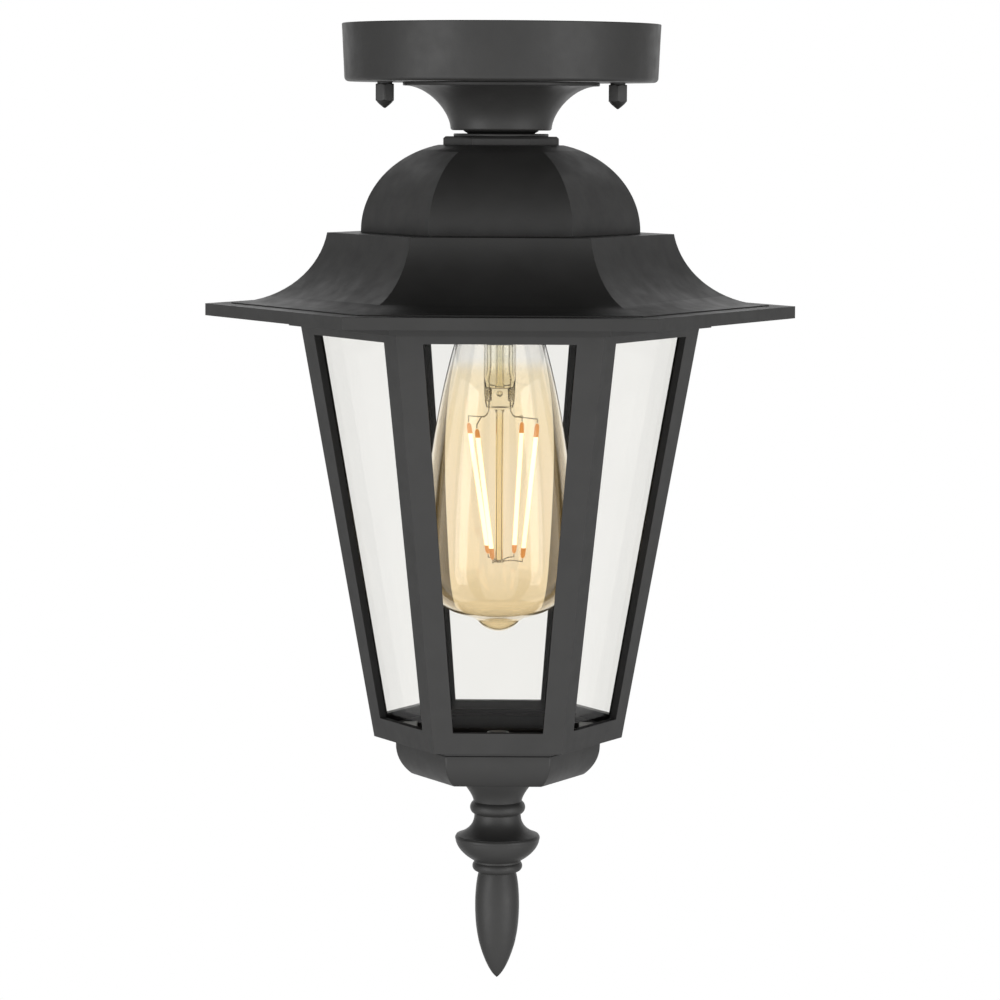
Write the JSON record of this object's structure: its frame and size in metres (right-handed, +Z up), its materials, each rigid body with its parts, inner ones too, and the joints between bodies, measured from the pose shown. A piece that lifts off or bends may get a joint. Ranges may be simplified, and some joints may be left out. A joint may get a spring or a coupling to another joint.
{
  "type": "porch ceiling lantern",
  "caption": "Hexagonal black porch lantern that hangs close under a ceiling, with clear glass panes, a filament bulb and a turned finial",
  "frame": {"origin": "centre of the mounting strap's upper face, on the ceiling plane", "axes": "+Z up towards the ceiling, -Y towards the viewer, one flat face of the hexagon faces -Y, +X to the right"},
  "size_m": [0.2362, 0.2046, 0.3855],
  "materials": {
    "black_paint": "satin black powder coat with a fine grain on cast aluminium",
    "zinc_steel": "zinc plated steel",
    "green_screw": "green dyed steel, for the earth wire",
    "pane_glass": "clear flat glass",
    "bulb_glass": "clear glass with a light amber tint",
    "stem_glass": "clear glass",
    "black_glass": "black glass insulator",
    "nickel": "nickel plated",
    "filament": "phosphor coated filament, lit",
    "porcelain": "white glazed porcelain",
    "brass": "plain brass",
    "black_insulation": "black wire insulation",
    "white_insulation": "white wire insulation"
  },
  "bodies": {
    "lantern": {"mounting_strap": "zinc_steel", "canopy_studs": "zinc_steel", "stud_nuts": "zinc_steel", "ground_screw": "green_screw", "canopy": "black_paint", "cap_nuts": "black_paint", "lock_washer": "zinc_steel", "tube_nuts": "zinc_steel", "threaded_tube": "zinc_steel", "neck": "black_paint", "taper_spacer": "black_paint", "disc_washer": "black_paint", "dome": "black_paint", "dome_screws": "zinc_steel", "roof": "black_paint", "cage": "black_paint", "cage_screws": "zinc_steel", "glass_front": "pane_glass", "glass_front_right": "pane_glass", "glass_back_right": "pane_glass", "glass_back": "pane_glass", "glass_back_left": "pane_glass", "glass_front_left": "pane_glass", "glass_clips": "zinc_steel", "clip_screws": "zinc_steel", "pan_bridge": "zinc_steel", "finial_tube": "zinc_steel", "finial_tube_nuts": "zinc_steel", "lampholder_bracket": "zinc_steel", "bracket_screws": "zinc_steel", "lampholder_body": "porcelain", "lampholder_shell": "brass", "lampholder_contact": "brass", "terminal_screws": "brass", "lead_live": "black_insulation", "lead_neutral": "white_insulation"},
    "bulb_lift": {"bulb_contact": "nickel"},
    "bulb": {"bulb_glass": "bulb_glass", "bulb_cap": "nickel", "bulb_insulator": "black_glass", "bulb_stem": "stem_glass", "bulb_wires": "nickel", "bulb_filaments": "filament"},
    "pan": {"pan": "black_paint", "finial_washer": "black_paint"},
    "finial": {"finial": "black_paint"}
  },
  "joints": [
    {"name": "bulb_drop", "type": "slide", "parent": "lantern", "child": "bulb_lift", "axis": [0, 0, -1], "range_m": [0, 0.0254]},
    {"name": "bulb_turn", "type": "hinge", "parent": "bulb_lift", "child": "bulb", "pos_m": [0, 0, -0.1], "axis": [0, 0, -1], "range_deg": [0, 2520]},
    {"name": "pan_drop", "type": "slide", "parent": "lantern", "child": "pan", "axis": [0, 0, -1], "range_m": [0, 0.01]},
    {"name": "finial_turn", "type": "hinge", "parent": "pan", "child": "finial", "pos_m": [0, 0, -0.31], "axis": [0, 0, -1], "range_deg": [0, 3600]}
  ],
  "couplings": [
    {"joint": "bulb_turn", "follows": "bulb_drop", "rad_per_m": 1731.4},
    {"joint": "finial_turn", "follows": "pan_drop", "rad_per_m": 6283.2}
  ]
}
